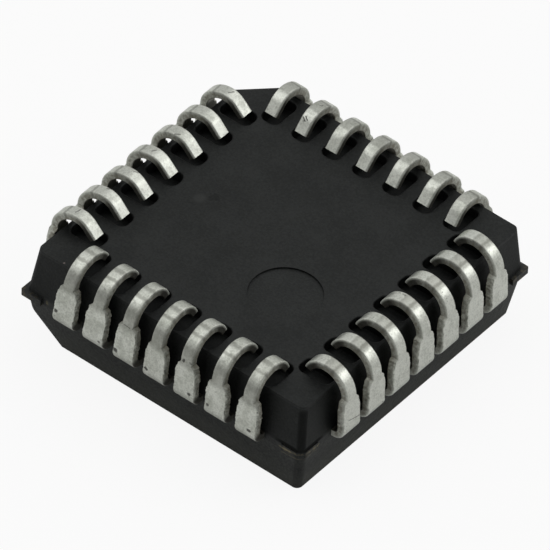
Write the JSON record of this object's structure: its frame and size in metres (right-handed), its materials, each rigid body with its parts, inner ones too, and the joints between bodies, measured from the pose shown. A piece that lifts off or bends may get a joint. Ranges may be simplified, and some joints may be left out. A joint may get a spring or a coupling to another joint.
{
  "type": "plastic leaded chip carrier",
  "caption": "Square plastic leaded chip carrier: a moulded epoxy body with J-shaped leads along all four sides, a cut index corner and a bevelled index edge.",
  "frame": {"origin": "centre of the marking face, which the part lies on", "axes": "+Z from the marking face to the side that is soldered, -X to the side with the index bevel, -X +Y to the index corner"},
  "size_m": [0.0126, 0.0126, 0.0044],
  "materials": {
    "moulded_epoxy": "matte charcoal epoxy with a fine moulded grain",
    "tin_plating": "matte tin plating",
    "copper_alloy": "rolled copper alloy, bare",
    "adhesive": "silver-filled adhesive",
    "silicon": "polished silicon",
    "bond_wire": "drawn gold wire"
  },
  "bodies": {
    "root": {"body": "moulded_epoxy", "lead_01": "tin_plating", "lead_02": "tin_plating", "lead_03": "tin_plating", "lead_04": "tin_plating", "lead_05": "tin_plating", "lead_06": "tin_plating", "lead_07": "tin_plating", "lead_08": "tin_plating", "lead_09": "tin_plating", "lead_10": "tin_plating", "lead_11": "tin_plating", "lead_12": "tin_plating", "lead_13": "tin_plating", "lead_14": "tin_plating", "lead_15": "tin_plating", "lead_16": "tin_plating", "lead_17": "tin_plating", "lead_18": "tin_plating", "lead_19": "tin_plating", "lead_20": "tin_plating", "lead_21": "tin_plating", "lead_22": "tin_plating", "lead_23": "tin_plating", "lead_24": "tin_plating", "lead_25": "tin_plating", "lead_26": "tin_plating", "lead_27": "tin_plating", "lead_28": "tin_plating", "die_paddle": "copper_alloy", "die_attach": "adhesive", "die": "silicon", "bond_wires": "bond_wire"}
  },
  "joints": []
}
